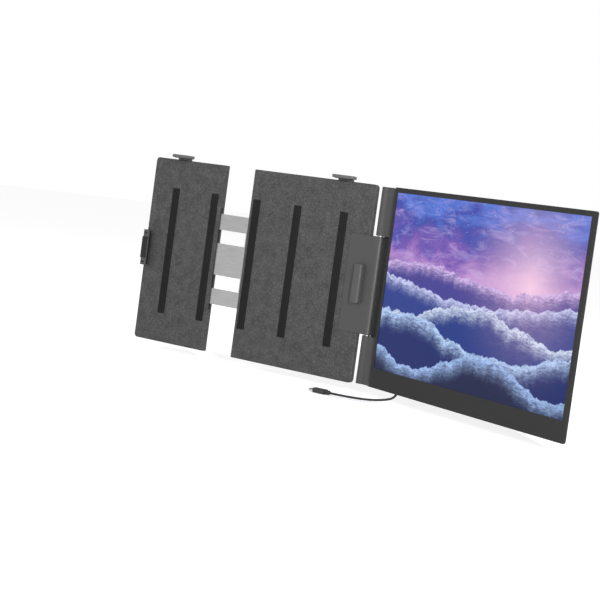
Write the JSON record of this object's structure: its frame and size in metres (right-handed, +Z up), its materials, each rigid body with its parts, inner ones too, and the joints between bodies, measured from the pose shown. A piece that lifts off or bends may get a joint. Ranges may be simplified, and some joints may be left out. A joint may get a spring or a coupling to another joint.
{
  "type": "laptop screen extender",
  "caption": "Portable monitor on a sprung bracket that grips a laptop lid from behind; the screen swings on an upright side hinge and a short lead joins it to the laptop.",
  "frame": {"origin": "on the front of the silicone pad that rests against the middle of the laptop lid's back, half way up the bracket", "axes": "+X to the user's right, +Y away from the user through the lid, +Z up along the lid and the monitor's hinge axis"},
  "size_m": [0.7399, 0.1382, 0.2645],
  "materials": {
    "textured_shell": "grained",
    "cover_shell": "satin",
    "steel_plate": "brushed",
    "spring_steel": "polished",
    "screw_steel": "black oxide",
    "washer_steel": "satin",
    "silicone": "matt",
    "hook_plastic": "satin",
    "clamp_plastic": "satin",
    "hinge_plastic": "satin",
    "knuckle_plastic": "satin",
    "stand_metal": "anodised",
    "bezel_plastic": "satin",
    "screen": "gloss",
    "diffuser": "matt",
    "board": "solder mask",
    "port_metal": "satin",
    "button_plastic": "satin",
    "speaker_plastic": "matt",
    "plug_plastic": "matt",
    "lead_jacket": "matt"
  },
  "bodies": {
    "right_half": {"right_housing": "textured_shell", "right_rear_cover": "cover_shell", "slide_tongue": "steel_plate", "right_bracket_screws": "screw_steel", "right_lid_pads": "silicone", "right_side_clamp": "clamp_plastic", "right_clamp_liner": "silicone", "hinge_block": "hinge_plastic", "hinge_shafts": "spring_steel", "friction_washers": "washer_steel", "stand_pin": "spring_steel"},
    "left_half": {"left_housing": "textured_shell", "left_rear_cover": "cover_shell", "clamp_springs": "spring_steel", "left_bracket_screws": "screw_steel", "left_lid_pads": "silicone", "left_side_clamp": "clamp_plastic", "left_clamp_liner": "silicone"},
    "right_hook": {"right_top_hook": "hook_plastic", "right_hook_pad": "silicone"},
    "left_hook": {"left_top_hook": "hook_plastic", "left_hook_pad": "silicone"},
    "stand": {"kickstand": "stand_metal"},
    "monitor": {"front_bezel": "bezel_plastic", "display_panel": "screen", "backlight": "diffuser", "monitor_rear_cover": "cover_shell", "spine_cover": "hinge_plastic", "top_knuckle": "knuckle_plastic", "bottom_knuckle": "knuckle_plastic", "hinge_leaves": "steel_plate", "electronics_cover": "cover_shell", "main_board": "board", "port_shells": "port_metal", "speakers": "speaker_plastic", "monitor_plug": "plug_plastic", "monitor_plug_tip": "port_metal", "laptop_plug": "plug_plastic", "laptop_plug_tip": "port_metal", "lead": "lead_jacket"},
    "power_key": {"power_button": "button_plastic"},
    "minus_key": {"minus_button": "button_plastic"},
    "plus_key": {"plus_button": "button_plastic"}
  },
  "joints": [
    {"name": "width_slide", "type": "slide", "parent": "right_half", "child": "left_half", "axis": [-1, 0, 0], "range_m": [-0.048, 0.04]},
    {"name": "right_hook_slide", "type": "slide", "parent": "right_half", "child": "right_hook", "axis": [0, 0, 1], "range_m": [-0.0015, 0.012]},
    {"name": "left_hook_slide", "type": "slide", "parent": "left_half", "child": "left_hook", "axis": [0, 0, 1], "range_m": [-0.0015, 0.012]},
    {"name": "stand_hinge", "type": "hinge", "parent": "right_half", "child": "stand", "pos_m": [0.085, 0.0077, 0.012], "axis": [1, 0, 0], "range_deg": [0, 60]},
    {"name": "monitor_hinge", "type": "hinge", "parent": "right_half", "child": "monitor", "pos_m": [0.19745, 0.005, 0], "axis": [0, 0, 1], "range_deg": [-80, 75]},
    {"name": "power_press", "type": "slide", "parent": "monitor", "child": "power_key", "axis": [0, 0, 1], "range_m": [0, 0.0007], "stiffness_N_per_m": 600, "springref_m": -0.0003},
    {"name": "minus_press", "type": "slide", "parent": "monitor", "child": "minus_key", "axis": [0, 0, 1], "range_m": [0, 0.0007], "stiffness_N_per_m": 600, "springref_m": -0.0003},
    {"name": "plus_press", "type": "slide", "parent": "monitor", "child": "plus_key", "axis": [0, 0, 1], "range_m": [0, 0.0007], "stiffness_N_per_m": 600, "springref_m": -0.0003}
  ]
}
